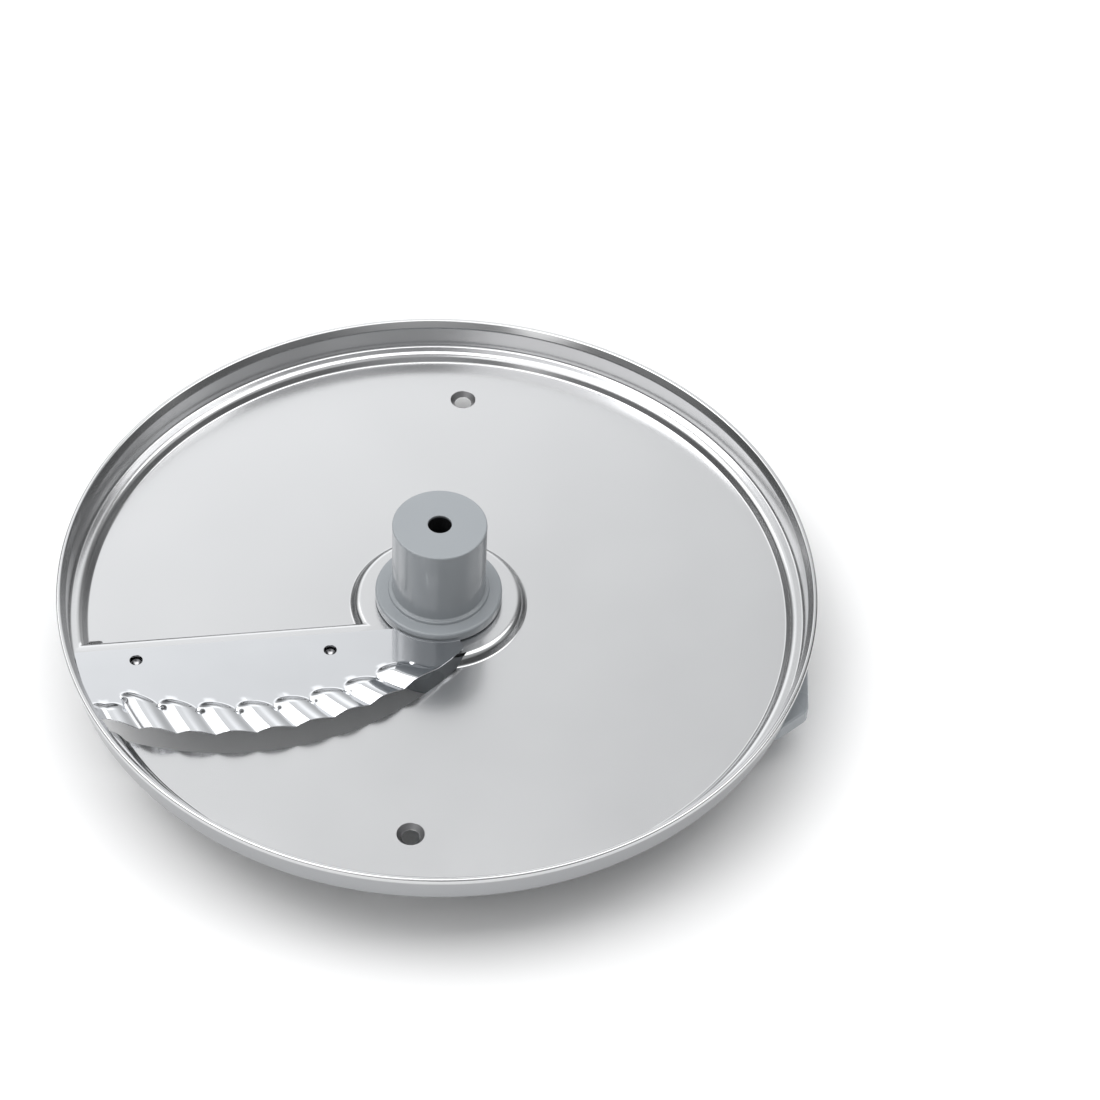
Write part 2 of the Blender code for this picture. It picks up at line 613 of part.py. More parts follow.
def make_ejector(parts, cutters):
    boss = turned("ejector", rounded([
        (0.0, EJECTOR_TOP, 0),
        (BOSS_RADIUS, EJECTOR_TOP, CLEARANCE),
        (BOSS_RADIUS, 0.0, CLEARANCE),
        (0.0, 0.0, 0),
    ], steps=2), parts, HUB_STEPS, on_axis=True)

    # Each wing is cut to a slope from its level part out to the shallow tip
    tip_bottom = WING_TOP - WING_TIP_HEIGHT
    for i in range(2):
        turn = math.pi * i
        vane = prism(f"vane_{i + 1}", wing_outline(), 0.0, WING_TOP - CLEARANCE, cutters)
        vane.rotation_euler.z = turn
        reach = WING_TIP_RADIUS + OVERCUT
        wedge = prism(f"vane_slope_{i + 1}", [
            (WING_FLAT_RADIUS, -OVERCUT), (reach, -OVERCUT), (reach, tip_bottom + CLEARANCE),
        ], -reach, reach, cutters)
        wedge.rotation_euler = (math.pi / 2, 0, WING_TIP_ANGLE + turn)
        combine(vane, wedge, "DIFFERENCE")
        combine(boss, vane, "UNION")
        tip = prism(f"wing_tip_{i + 1}", tip_outline(), tip_bottom, WING_TOP, cutters)
        tip.rotation_euler.z = turn
        combine(boss, tip, "UNION")

    bore = prism("ejector_socket", socket_outline(), -OVERCUT, EJECTOR_TOP + OVERCUT, cutters)
    combine(boss, bore, "DIFFERENCE")
    seat = FLOOR_Z - HUB_SCREW_SEAT
    for i, place in enumerate(hub_screw_places(), 1):
        hole = cylinder(f"ejector_screw_hole_{i}", SCREW_HOLE, seat - OVERCUT,
                        EJECTOR_TOP + OVERCUT, place, cutters)
        combine(boss, hole, "DIFFERENCE")
        well = cylinder(f"ejector_head_well_{i}", SCREW_HEAD_RADIUS + CLEARANCE, -OVERCUT, seat,
                        place, cutters)
        combine(boss, well, "DIFFERENCE")
    plastic = make_material("ejector_plastic", (0.40, 0.43, 0.46), 0.42, 0.0)
    return as_mesh(boss, plastic)


# Screws, driven from below

def make_screw(name, place, seat, end, parts, cutters, material):
    """A pan-head screw whose head bears upwards on the seat and whose thread ends at the end height."""
    under = seat - SCREW_HEAD_HEIGHT
    screw = turned(name, rounded([
        (0.0, end, 0),
        (SCREW_RADIUS, end, CLEARANCE),
        (SCREW_RADIUS, seat, 0),
        (SCREW_HEAD_RADIUS, seat, 0),
        (SCREW_HEAD_RADIUS, under, SCREW_HEAD_HEIGHT / 3),
        (0.0, under, 0),
    ], steps=2), parts, HOLE_STEPS, on_axis=True)
    key = cylinder(f"{name}_key", SCREW_KEY_RADIUS, under - OVERCUT,
                   under + SCREW_KEY_DEPTH, (0, 0), cutters, steps=6)
    combine(screw, key, "DIFFERENCE")
    screw = as_mesh(screw, material)
    screw.location = (*place, 0)
    return screw


def make_screws(parts, cutters):
    steel = make_material("screw_steel", (0.60, 0.60, 0.61), 0.30, 1.0)
    for i, place in enumerate(BLADE_SCREWS, 1):
        make_screw(f"blade_screw_{i}", place, RAISED_UNDERSIDE_Z - CLEARANCE,
                   BLADE_TOP - SCREW_END_RECESS, parts, cutters, steel)
    for i, place in enumerate(hub_screw_places(), 1):
        make_screw(f"hub_screw_{i}", place, FLOOR_Z - HUB_SCREW_SEAT - CLEARANCE,
                   HUB_BOTTOM + HUB_SCREW_GRIP, parts, cutters, steel)


def main():
    clear_scene()
    parts = make_collection("ripple_cut_disc")
    cutters = make_collection("cutters")
    make_plate(parts, cutters)
    make_blade(parts, cutters)
    make_hub(parts, cutters)
    make_ejector(parts, cutters)
    make_screws(parts, cutters)


main()
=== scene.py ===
"""Dressing of the ripple cut disc: finer shapes, materials, light and the camera.

The pressed steel plate, the polished ripple blade, the moulded hub, the ejector and the screws are
made again in finer steps from the sizes below. Metres, +Z up, the hub's axis on Z.
"""

import math

import bmesh
import bpy
from mathutils import Matrix, Vector


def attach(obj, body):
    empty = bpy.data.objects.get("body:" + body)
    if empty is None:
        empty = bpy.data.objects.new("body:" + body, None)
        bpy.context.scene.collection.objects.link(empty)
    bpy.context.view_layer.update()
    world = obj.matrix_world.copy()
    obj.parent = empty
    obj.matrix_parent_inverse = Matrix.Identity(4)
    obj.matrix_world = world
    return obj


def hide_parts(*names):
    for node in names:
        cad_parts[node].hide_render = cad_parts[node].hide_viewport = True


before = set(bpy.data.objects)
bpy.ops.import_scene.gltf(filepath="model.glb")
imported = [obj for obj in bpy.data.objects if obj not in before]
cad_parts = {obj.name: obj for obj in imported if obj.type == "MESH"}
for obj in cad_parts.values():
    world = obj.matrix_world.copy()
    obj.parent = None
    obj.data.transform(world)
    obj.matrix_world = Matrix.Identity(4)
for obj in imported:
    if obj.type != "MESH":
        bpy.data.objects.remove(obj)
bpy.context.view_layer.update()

# Plate
DISC_RADIUS = 0.0875
SHEET = 0.0012
RIM_HEIGHT = 0.0093
STEP_HEIGHT = 0.0020
RISER_RUN = 0.0013
LEDGE_WIDTH = 0.0026
LIP_FLARE = 0.0011
LIP_DEPTH = 0.0016
LIP_ROUND = 0.0005
WALL_LEAN = 0.0004
WALL_FILLET = 0.0006
CORNER_FILLET = 0.0016
STEP_FILLET = 0.0004
FLOOR_FILLET = 0.0006
SHOULDER_FILLET = 0.0020
HUB_BOSS_RADIUS = 0.0204
PLATE_HOLE_TOP_RADIUS = 0.0031
PLATE_HOLE_RADIUS = 0.0020
PLATE_HOLE_CENTRE_RADIUS = 0.0681
PLATE_HOLE_ANGLE = math.radians(78.6)

# Blade and its seat
BLADE_SHEET = 0.0012
BLADE_BACK_Y = -0.0102
SEAT_BACK_Y = -0.0051
EDGE_CENTRE = (-0.0470, 0.0370)
EDGE_RADIUS = 0.0747
EDGE_TIP_ANGLE = math.radians(282)
EDGE_THICKNESS = 0.00022
BEVEL_WIDTH = 0.0030
RIPPLE_HEIGHT = 0.0013
RIPPLE_PITCH = 0.0070
RIPPLE_CAP = 0.0034
RIPPLE_START_CENTRE = (-0.0457, 0.0415)
RIPPLE_START_RADIUS = 0.0698
RIPPLE_CREASE = 0.0782        # crease outside the outermost full ripple
RIPPLE_CREST = 0.42           # the crest's place between two creases, nearer the outer one
RIPPLE_DRIFT = 0.0012         # how far a ripple moves outwards on its way to the edge
RIPPLE_FADE = 0.0120          # the drift fades over this width towards the rim
RIPPLE_COUNT = 8
RIPPLE_FULLNESS = 1.15        # 1 is a plain cosine, more is a slimmer finger
RIM_RIPPLE_START = math.radians(198.5)
PINCH_DEPTH = 0.00035         # small dent where two ripples start
PINCH_RADIUS = 0.0009
MOUTH_CENTRE = (-0.0458, 0.0271)
MOUTH_RADIUS = 0.0674
MOUTH_INNER_RADIUS = 0.0182
SEAT_FRONT_RADIUS = 0.0590
MOUTH_WALL_GAP = 0.0008
RELIEF_SIZE = (0.0032, 0.0024)
RELIEF_ROUND = 0.0006
BLADE_SCREWS = ((-0.0703, -0.0138), (-0.0265, -0.0152))

# Hub
HUB_RADIUS = 0.0108
HUB_HEIGHT = 0.0264
FLANGE_RADIUS = 0.0147
FLANGE_HEIGHT = 0.0050
FOOT_RING_RADIUS = 0.0117
FOOT_RING_HEIGHT = 0.0009
HUB_CHAMFER = 0.0004
FLANGE_ROUND = 0.0006
VENT_RADIUS = 0.0027
SOCKET_RADIUS = 0.0050
SOCKET_FLAT = 0.0038
SOCKET_TOP = 0.0205

# Ejector
EJECTOR_DEPTH = 0.0130
BOSS_RADIUS = 0.0160
WING_TIP_RADIUS = 0.0896
WING_TIP_ANGLE = math.radians(-26.4)
WING_TIP_BACK = math.radians(10)
WING_TIP_FRONT = math.radians(6)
WING_TIP_SLOPE = 0.0030
WING_TIP_END_SLOPE = 0.0048
WING_TIP_DEPTH = 0.0115
WING_TIP_ROUND = 0.0030
WING_TIP_HEIGHT = 0.0040
WING_ROOT_ANGLE = math.radians(38.0)
WING_CURVE = 0.8
WING_THICKNESS = 0.0034
WING_FLAT_RADIUS = 0.0460
WING_EDGE_ROUND = 0.0005

# Fixings and fits
CLEARANCE = 0.0003
SCREW_RADIUS = 0.0012
SCREW_HEAD_RADIUS = 0.0022
SCREW_HEAD_HEIGHT = 0.0016
SCREW_KEY_RADIUS = 0.0010
SCREW_KEY_DEPTH = 0.0009
SCREW_KEY_SIDES = 6
SCREW_END_RECESS = 0.0009
SCREW_CUP_RADIUS = 0.00105
SCREW_CUP_DEPTH = 0.0009
HUB_SCREW_CIRCLE = 0.0083
HUB_SCREW_COUNT = 3
HUB_SCREW_ANGLE = math.radians(76)
HUB_SCREW_GRIP = 0.0080
HUB_SCREW_SEAT = 0.0050

# Fineness of the shapes, and how far a cut reaches past what it cuts
RIM_STEPS = 360
HUB_STEPS = 144
SOCKET_STEPS = 96
HOLE_STEPS = 48
SLOPE_STEPS = 8
MOUTH_STEPS = 120
WING_STEPS = 40
TIP_STEPS = 12
EDGE_STEPS = 4
BLADE_INNER_ROWS = 24
RIPPLE_ROWS = 26
BLADE_FLAT_STEPS = 12
RIPPLE_CAP_STEPS = 16
FINGER_STEPS = 14
BEVEL_STEPS = 3
OVERCUT = 0.0010

# Heights and radii that follow from the sizes above
FLOOR_Z = EJECTOR_DEPTH + CLEARANCE + SHEET
SEAT_Z = FLOOR_Z + STEP_HEIGHT
UNDERSIDE_Z = FLOOR_Z - SHEET
RAISED_UNDERSIDE_Z = SEAT_Z - SHEET
LIP_Z = FLOOR_Z + RIM_HEIGHT
WALL_TOP_INNER = DISC_RADIUS - LIP_FLARE - SHEET + WALL_LEAN / 2
WALL_FOOT_INNER = WALL_TOP_INNER - WALL_LEAN
LEDGE_INNER = WALL_FOOT_INNER - LEDGE_WIDTH
FLOOR_RADIUS = LEDGE_INNER - RISER_RUN
BLADE_BOTTOM = SEAT_Z + CLEARANCE
BLADE_TOP = BLADE_BOTTOM + BLADE_SHEET
BLADE_INNER = FLANGE_RADIUS + CLEARANCE
BLADE_OUTER = WALL_FOOT_INNER - CLEARANCE
HUB_BOTTOM = SEAT_Z + CLEARANCE
EJECTOR_TOP = RAISED_UNDERSIDE_Z - CLEARANCE
WING_TOP = UNDERSIDE_Z - CLEARANCE
PLATE_BORE = SOCKET_RADIUS + CLEARANCE
SCREW_HOLE = SCREW_RADIUS + CLEARANCE

# Colours, darkest and lightest where a surface varies, and roughness from low to high
PLATE_STEEL = ((0.630, 0.632, 0.638), (0.646, 0.648, 0.654))
PLATE_ROUGHNESS = (0.185, 0.205)
# Painted shade: a darker reflection on the rim's outside than its steel gives
RIM_OUTSIDE_PAINTED_SHADE = (0.385, 0.391, 0.402)
# Painted shade along the pressed slopes, for their dark lines
SLOPE_PAINTED_SHADE = (0.40, 0.405, 0.41)
# Painted shade on the underside, which darkens the space under the disc
UNDERSIDE_PAINTED_SHADE = (0.42, 0.425, 0.43)
# Painted shade on the cut sides of the mouth, the slot and the holes
CUT_PAINTED_SHADE = (0.22, 0.22, 0.225)
CUT_ROUGHNESS_GAIN = 0.25
RUBBED_ROUGHNESS_LOSS = 0.06
BLADE_STEEL = ((0.658, 0.668, 0.686), (0.688, 0.698, 0.716))
BLADE_ROUGHNESS = (0.045, 0.09)
SCREW_STEEL = ((0.50, 0.50, 0.51), (0.60, 0.60, 0.61))
SCREW_ROUGHNESS = (0.24, 0.38)
# Painted shade on the screw ends seen in the blade's holes
SCREW_END_PAINTED_SHADE = (0.13, 0.13, 0.135)
HUB_GREY = ((0.292, 0.312, 0.330), (0.302, 0.322, 0.340))
HUB_ROUGHNESS = (0.16, 0.21)
EJECTOR_GREY = ((0.352, 0.376, 0.400), (0.364, 0.388, 0.412))
EJECTOR_ROUGHNESS = (0.24, 0.32)
PLASTIC_IOR = 1.5
# Painted shade inside the hub's vent bore
BORE_PAINTED_SHADE = (0.012, 0.012, 0.013)
GROUND_PAINT = ((0.91, 0.91, 0.91), (0.93, 0.93, 0.93))
GROUND_ROUGHNESS = (0.75, 0.85)

# Where one look fades into another
STEEL_FADE = 0.00004
BORE_FADE = 0.0004
CUT_REACH = (0.0006, 0.0004)      # from the floor's radius inwards
SLOPE_FOOT_FADE = (0.0001, 0.0004)
SLOPE_TOP_FADE = 0.0003
RUBBED_BAND = (0.0023, 0.0007)    # from the outermost edge inwards
FACES_DOWN = (-0.6, -0.3)

# Camera
CAMERA_LENS = 98.329
CAMERA_SENSOR = 36.0
CAMERA_PLACE = (-0.0571489, -0.4654405, 0.5342106)
CAMERA_TURN = (
    (0.990165, 0.072436, -0.119692),
    (-0.134566, 0.727182, -0.673126),
    (0.038279, 0.682612, 0.729778),
)

# Studio. Each light has a name, azimuth and elevation, then inner and outer angle for a glow, or
# distance, width and height for a panel, and its radiance.
GROUND_SIZE = 4.0
STUDIO_TINT = (0.98, 0.99, 1.0)
STUDIO_BASE = 0.11
GLOWS = (
    ("back_glow", 0, 39, 5, 34, 0.80),
    ("back_left_glow", 36, 42, 5, 34, 0.32),
    ("left_glow", 100, 50, 5, 40, 0.40),
    ("right_glow", -95, 48, 5, 40, 0.27),
    ("front_glow", 180, 44, 5, 32, 0.42),
    ("front_right_glow", -138, 46, 5, 28, 0.36),
    ("low_back_glow", -22, 10, 8, 38, 0.50),
    ("back_ridge_glow", 0, 31, 4, 20, 0.45),
)
PANELS = (
    ("left_panel", 97, 54, 1.3, 2.8, 1.0, 1.15),
    ("right_panel", -98, 36, 1.4, 0.5, 0.9, 0.4),
    ("high_back_panel", 0, 84, 1.4, 2.4, 1.0, 2.3),
)

GROUP = bpy.context.scene.collection
CUTTERS = []


# Shapes

def add_object(name, mesh):
    item = bpy.data.objects.new(name, mesh)
    GROUP.objects.link(item)
    return item


def add_cutter(name, mesh):
    item = add_object(name, mesh)
    item.hide_render = True
    CUTTERS.append(item)
    return item


def polar(radius, angle):
    return radius * math.cos(angle), radius * math.sin(angle)


def arc(centre, radius, start, end, steps):
    """Points on an arc from one angle to another, both ends included."""
    return [
        (centre[0] + radius * math.cos(start + (end - start) * i / steps),
         centre[1] + radius * math.sin(start + (end - start) * i / steps))
        for i in range(steps + 1)
    ]


def angle_on_hub_circle(radius, centre, arc_radius):
    """Angle at which an arc with its own centre crosses a circle about the hub, on the blade's side."""
    distance = math.hypot(*centre)
    cosine = (radius**2 + distance**2 - arc_radius**2) / (2 * radius * distance)
    turn = math.acos(max(-1.0, min(1.0, cosine)))
    return math.atan2(centre[1], centre[0]) + turn


def angle_about(centre, point):
    return math.atan2(point[1] - centre[1], point[0] - centre[0])


def rounded(corners, steps=5):
    """A path through (x, y, fillet) corners, each fillet an arc. The path is closed."""
    path = []
    for i, (x, y, fillet) in enumerate(corners):
        before, after = corners[i - 1], corners[(i + 1) % len(corners)]
        if fillet <= 0:
            path.append((x, y))
            continue
        back = (before[0] - x, before[1] - y)
        ahead = (after[0] - x, after[1] - y)
        back_length, ahead_length = math.hypot(*back), math.hypot(*ahead)
        u = (back[0] / back_length, back[1] / back_length)
        v = (ahead[0] / ahead_length, ahead[1] / ahead_length)
        half = math.acos(max(-1.0, min(1.0, u[0] * v[0] + u[1] * v[1]))) / 2
        reach = min(fillet / math.tan(half), 0.45 * back_length, 0.45 * ahead_length)
        radius = reach * math.tan(half)
        middle = (u[0] + v[0], u[1] + v[1])
        scale = radius / math.sin(half) / math.hypot(*middle)
        centre = (x + middle[0] * scale, y + middle[1] * scale)
        start = angle_about(centre, (x + u[0] * reach, y + u[1] * reach))
        end = angle_about(centre, (x + v[0] * reach, y + v[1] * reach))
        sweep = (end - start + math.pi) % (2 * math.pi) - math.pi
        path += arc(centre, radius, start, start + sweep, steps)
    return path


def as_mesh(item):
    """Replaces an object by the mesh that its modifiers make, with its faces pointing out."""
    bpy.context.view_layer.update()
    graph = bpy.context.evaluated_depsgraph_get()
    mesh = bpy.data.meshes.new_from_object(item.evaluated_get(graph))
    name, place = item.name, item.matrix_world.copy()
    bpy.data.objects.remove(item, do_unlink=True)
    faces = bmesh.new()
    faces.from_mesh(mesh)
    bmesh.ops.remove_doubles(faces, verts=faces.verts, dist=0.0000005)
    bmesh.ops.recalc_face_normals(faces, faces=faces.faces)
    if faces.calc_volume(signed=True) < 0:
        bmesh.ops.reverse_faces(faces, faces=faces.faces)
    faces.to_mesh(mesh)
    faces.free()
    mesh.materials.clear()
    result = add_object(name, mesh)
    result.matrix_world = place
    return result


def turned(name, profile, steps, on_axis=False):
    """A solid of revolution from an (r, z) profile that runs down its outer side."""
    mesh = bpy.data.meshes.new(name)
    edges = [(i, i + 1) for i in range(len(profile) - 1)]
    if not on_axis:
        edges.append((len(profile) - 1, 0))
    mesh.from_pydata([(r, 0.0, z) for r, z in profile], edges, [])
    item = add_object(name, mesh)
    turn = item.modifiers.new("turn", "SCREW")
    turn.steps = turn.render_steps = steps
    turn.use_merge_vertices = True
    turn.merge_threshold = 0.00001
    turn.use_normal_calculate = True
    return as_mesh(item)


def lofted(name, outlines):
    """A solid through outlines with equal numbers of points, each given as (points, z), going up."""
    shape = bmesh.new()
    rings = [[shape.verts.new((x, y, z)) for x, y in points] for points, z in outlines]
    shape.faces.new(rings[0][::-1])
    shape.faces.new(rings[-1])
    for low, high in zip(rings, rings[1:]):
        for i in range(len(low)):
            j = (i + 1) % len(low)
            shape.faces.new((low[i], low[j], high[j], high[i]))
    bmesh.ops.recalc_face_normals(shape, faces=shape.faces)
    mesh = bpy.data.meshes.new(name)
    shape.to_mesh(mesh)
    shape.free()
    return add_cutter(name, mesh)


def prism(name, points, bottom, top):
    return lofted(name, [(points, bottom), (points, top)])


def cylinder(name, radius, bottom, top, centre, steps=HOLE_STEPS, top_radius=None):
    shape = bmesh.new()
    bmesh.ops.create_cone(
        shape, cap_ends=True, segments=steps, radius1=radius,
        radius2=radius if top_radius is None else top_radius, depth=top - bottom,
    )
    mesh = bpy.data.meshes.new(name)
    shape.to_mesh(mesh)
    shape.free()
    item = add_cutter(name, mesh)
    item.location = (*centre, (top + bottom) / 2)
    return item


def combine(item, other, operation="DIFFERENCE"):
    step = item.modifiers.new(other.name, "BOOLEAN")
    step.operation = operation
    step.object = other
    step.solver = "EXACT"


def finished(item, node, material, edge_angle=30):
    """Gives a made piece its material and clean shading, and puts it in the place of its CAD node."""
    item = as_mesh(item)
    item.name = f"{node}_fine"
    item.data.materials.append(material)
    item.data.shade_smooth()
    item.data.set_sharp_from_angle(angle=math.radians(edge_angle))
    normals = item.modifiers.new("normals", "WEIGHTED_NORMAL")
    normals.mode = "FACE_AREA"
    normals.weight = 100
    normals.keep_sharp = True
    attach(item, "root")
    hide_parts(node)
    return item


def hub_screw_places():
    return [polar(HUB_SCREW_CIRCLE, math.tau * i / HUB_SCREW_COUNT + HUB_SCREW_ANGLE)
            for i in range(HUB_SCREW_COUNT)]


# Materials

def new_material(name):
    material = bpy.data.materials.new(name)
    material.use_nodes = True
    return material, material.node_tree, material.node_tree.nodes["Principled BSDF"]


def add_noise(tree, stretch, scale, detail, roughness=0.5):
    """Noise on the object's own coordinates, stretched along its axes."""
    place = tree.nodes.new("ShaderNodeTexCoord")
    mapping = tree.nodes.new("ShaderNodeMapping")
    mapping.inputs["Scale"].default_value = stretch
    noise = tree.nodes.new("ShaderNodeTexNoise")
    noise.inputs["Scale"].default_value = scale
    noise.inputs["Detail"].default_value = detail
    noise.inputs["Roughness"].default_value = roughness
    tree.links.new(place.outputs["Object"], mapping.inputs["Vector"])
    tree.links.new(mapping.outputs["Vector"], noise.inputs["Vector"])
    return noise.outputs["Fac"]


def add_range(tree, value, low, high, from_low=0.3, from_high=0.7):
    """Spreads a value between two limits."""
    spread = tree.nodes.new("ShaderNodeMapRange")
    spread.inputs["From Min"].default_value = from_low
    spread.inputs["From Max"].default_value = from_high
    spread.inputs["To Min"].default_value = low
    spread.inputs["To Max"].default_value = high
    tree.links.new(value, spread.inputs["Value"])
    return spread.outputs["Result"]


def add_sum(tree, first, second, operation="ADD"):
    node = tree.nodes.new("ShaderNodeMath")
    node.operation = operation
    tree.links.new(first, node.inputs[0])
    tree.links.new(second, node.inputs[1])
    return node.outputs["Value"]


def add_colour(tree, value, dark, light):
    """Base colour that varies a little between two tones."""
    ramp = tree.nodes.new("ShaderNodeValToRGB")
    ramp.color_ramp.elements[0].position = 0.2
    ramp.color_ramp.elements[0].color = (*dark, 1.0)
    ramp.color_ramp.elements[1].position = 0.8
    ramp.color_ramp.elements[1].color = (*light, 1.0)
    tree.links.new(value, ramp.inputs["Fac"])
    return ramp.outputs["Color"]


def add_mix(tree, mask, colour, other):
    """One colour, and another one where the mask is 1."""
    mix = tree.nodes.new("ShaderNodeMix")
    mix.data_type = "RGBA"
    mix.inputs[7].default_value = (*other, 1.0)
    tree.links.new(mask, mix.inputs[0])
    tree.links.new(colour, mix.inputs[6])
    return mix.outputs[2]


def add_bump(tree, height, strength, distance, shader):
    bump = tree.nodes.new("ShaderNodeBump")
    bump.inputs["Strength"].default_value = strength
    bump.inputs["Distance"].default_value = distance
    tree.links.new(height, bump.inputs["Height"])
    tree.links.new(bump.outputs["Normal"], shader.inputs["Normal"])


def add_product(tree, first, second):
    return add_sum(tree, first, second, "MULTIPLY")


def height_of_point(tree):
    place = tree.nodes.new("ShaderNodeTexCoord")
    split = tree.nodes.new("ShaderNodeSeparateXYZ")
    tree.links.new(place.outputs["Object"], split.inputs["Vector"])
    return split.outputs["Z"]


def faces_down(tree):
    """1 on the underside."""
    surface = tree.nodes.new("ShaderNodeNewGeometry")
    split = tree.nodes.new("ShaderNodeSeparateXYZ")
    tree.links.new(surface.outputs["Normal"], split.inputs["Vector"])
    return add_range(tree, split.outputs["Z"], 1.0, 0.0, *FACES_DOWN)


def radius_from_axis(tree):
    """Distance from the hub's axis, for wear that follows the rim."""
    place = tree.nodes.new("ShaderNodeTexCoord")
    flat = tree.nodes.new("ShaderNodeVectorMath")
    flat.operation = "MULTIPLY"
    flat.inputs[1].default_value = (1.0, 1.0, 0.0)
    length = tree.nodes.new("ShaderNodeVectorMath")
    length.operation = "LENGTH"
    tree.links.new(place.outputs["Object"], flat.inputs[0])
    tree.links.new(flat.outputs["Vector"], length.inputs[0])
    return length.outputs["Value"]


def plate_material():
    """Satin steel: fine brush lines along X, soft smudges, and a rim rubbed smoother by handling.

    The cut sides of the mouth, the slot and the holes are rougher, with a dark tone of painted shade.
    The pressed slopes round the boss and behind the seat, the rim's outside and the underside get
    darker tones of painted shade.
    """
    material, tree, shader = new_material("plate_satin_steel")
    shader.inputs["Metallic"].default_value = 1.0
    brush = add_noise(tree, (160.0, 6000.0, 6000.0), 1.0, 3.0)
    cloud = add_noise(tree, (1.0, 1.0, 1.0), 45.0, 2.0, 0.3)
    radius = radius_from_axis(tree)
    height = height_of_point(tree)

    # Masks, each 1 where its look is full
    fade = STEEL_FADE
    above = add_range(tree, height, 0.0, 1.0, UNDERSIDE_Z + fade, UNDERSIDE_Z + 2 * fade)
    below = add_range(tree, height, 1.0, 0.0, FLOOR_Z - 2 * fade, FLOOR_Z - fade)
    within = add_range(tree, radius, 1.0, 0.0, FLOOR_RADIUS - CUT_REACH[0],
                       FLOOR_RADIUS - CUT_REACH[1])
    cut = add_product(tree, add_product(tree, above, below), within)
    wall = WALL_FOOT_INNER + SHEET / 2
    outside = add_range(tree, radius, 0.0, 1.0, wall, wall + fade)
    under_lip = add_range(tree, height, 1.0, 0.0, LIP_Z - LIP_DEPTH - SHEET, LIP_Z - LIP_DEPTH)
    outer = add_product(tree, outside, under_lip)
    slope_foot = add_range(tree, height, 0.0, 1.0, FLOOR_Z + SLOPE_FOOT_FADE[0],
                           FLOOR_Z + SLOPE_FOOT_FADE[1])
    slope_top = add_range(tree, height, 1.0, 0.0, SEAT_Z - SLOPE_TOP_FADE, SEAT_Z - fade)
    slope = add_product(tree, add_product(tree, slope_foot, slope_top), within)

    steel = add_colour(tree, cloud, *PLATE_STEEL)
    # Painted shade: a darker tone on the rim's outside
    steel = add_mix(tree, outer, steel, RIM_OUTSIDE_PAINTED_SHADE)
    # Painted shade: a darker tone on the pressed slopes round the boss and behind the seat
    steel = add_mix(tree, slope, steel, SLOPE_PAINTED_SHADE)
    # Painted shade: a darker tone on the underside
    steel = add_mix(tree, faces_down(tree), steel, UNDERSIDE_PAINTED_SHADE)
    # Painted shade: a dark tone on the cut sides, which are also made rougher below
    steel = add_mix(tree, cut, steel, CUT_PAINTED_SHADE)
    tree.links.new(steel, shader.inputs["Base Color"])
    smudge = add_range(tree, cloud, *PLATE_ROUGHNESS)
    rubbed = add_range(tree, radius, 0.0, -RUBBED_ROUGHNESS_LOSS, DISC_RADIUS - RUBBED_BAND[0],
                       DISC_RADIUS - RUBBED_BAND[1])
    lines = add_range(tree, brush, -0.010, 0.012)
    rough = add_sum(tree, add_sum(tree, smudge, rubbed), lines)
    rough = add_sum(tree, rough, add_range(tree, cut, 0.0, CUT_ROUGHNESS_GAIN, 0.0, 1.0))
    tree.links.new(rough, shader.inputs["Roughness"])
    add_bump(tree, brush, 0.015, 0.00002, shader)
    return material


def blade_material():
    """Polished steel with faint grinding lines and a few soft marks."""
    material, tree, shader = new_material("blade_polished_steel")
    shader.inputs["Metallic"].default_value = 1.0
    grind = add_noise(tree, (7000.0, 240.0, 240.0), 1.0, 2.0)
    cloud = add_noise(tree, (1.0, 1.0, 1.0), 70.0, 3.0)
    tree.links.new(add_colour(tree, cloud, *BLADE_STEEL), shader.inputs["Base Color"])
    rough = add_sum(tree, add_range(tree, cloud, *BLADE_ROUGHNESS),
                    add_range(tree, grind, 0.0, 0.02))
    tree.links.new(rough, shader.inputs["Roughness"])
    add_bump(tree, grind, 0.04, 0.00001, shader)
    return material


def plastic_material(name, tones, roughness, bore_radius=0.0, bore_top=0.0):
    """Moulded plastic: an even tone, a fine grain and a soft gloss that varies a little.

    A narrow bore in it is painted black inside: painted shade.
    """
    material, tree, shader = new_material(name)
    shader.inputs["IOR"].default_value = PLASTIC_IOR
    grain = add_noise(tree, (1.0, 1.0, 1.0), 5200.0, 2.0)
    cloud = add_noise(tree, (1.0, 1.0, 1.0), 90.0, 1.0, 0.3)
    tone = add_colour(tree, cloud, *tones)
    if bore_radius:
        inside = add_range(tree, radius_from_axis(tree), 1.0, 0.0, bore_radius + BORE_FADE / 4,
                           bore_radius + BORE_FADE / 2)
        deep = add_range(tree, height_of_point(tree), 1.0, 0.0, bore_top - 2 * BORE_FADE,
                         bore_top - BORE_FADE / 2)
        # Painted shade: near-black deep inside the bore
        tone = add_mix(tree, add_product(tree, inside, deep), tone, BORE_PAINTED_SHADE)
    tree.links.new(tone, shader.inputs["Base Color"])
    tree.links.new(add_range(tree, cloud, *roughness, 0.1, 0.9), shader.inputs["Roughness"])
    add_bump(tree, grain, 0.04, 0.00002, shader)
    return material


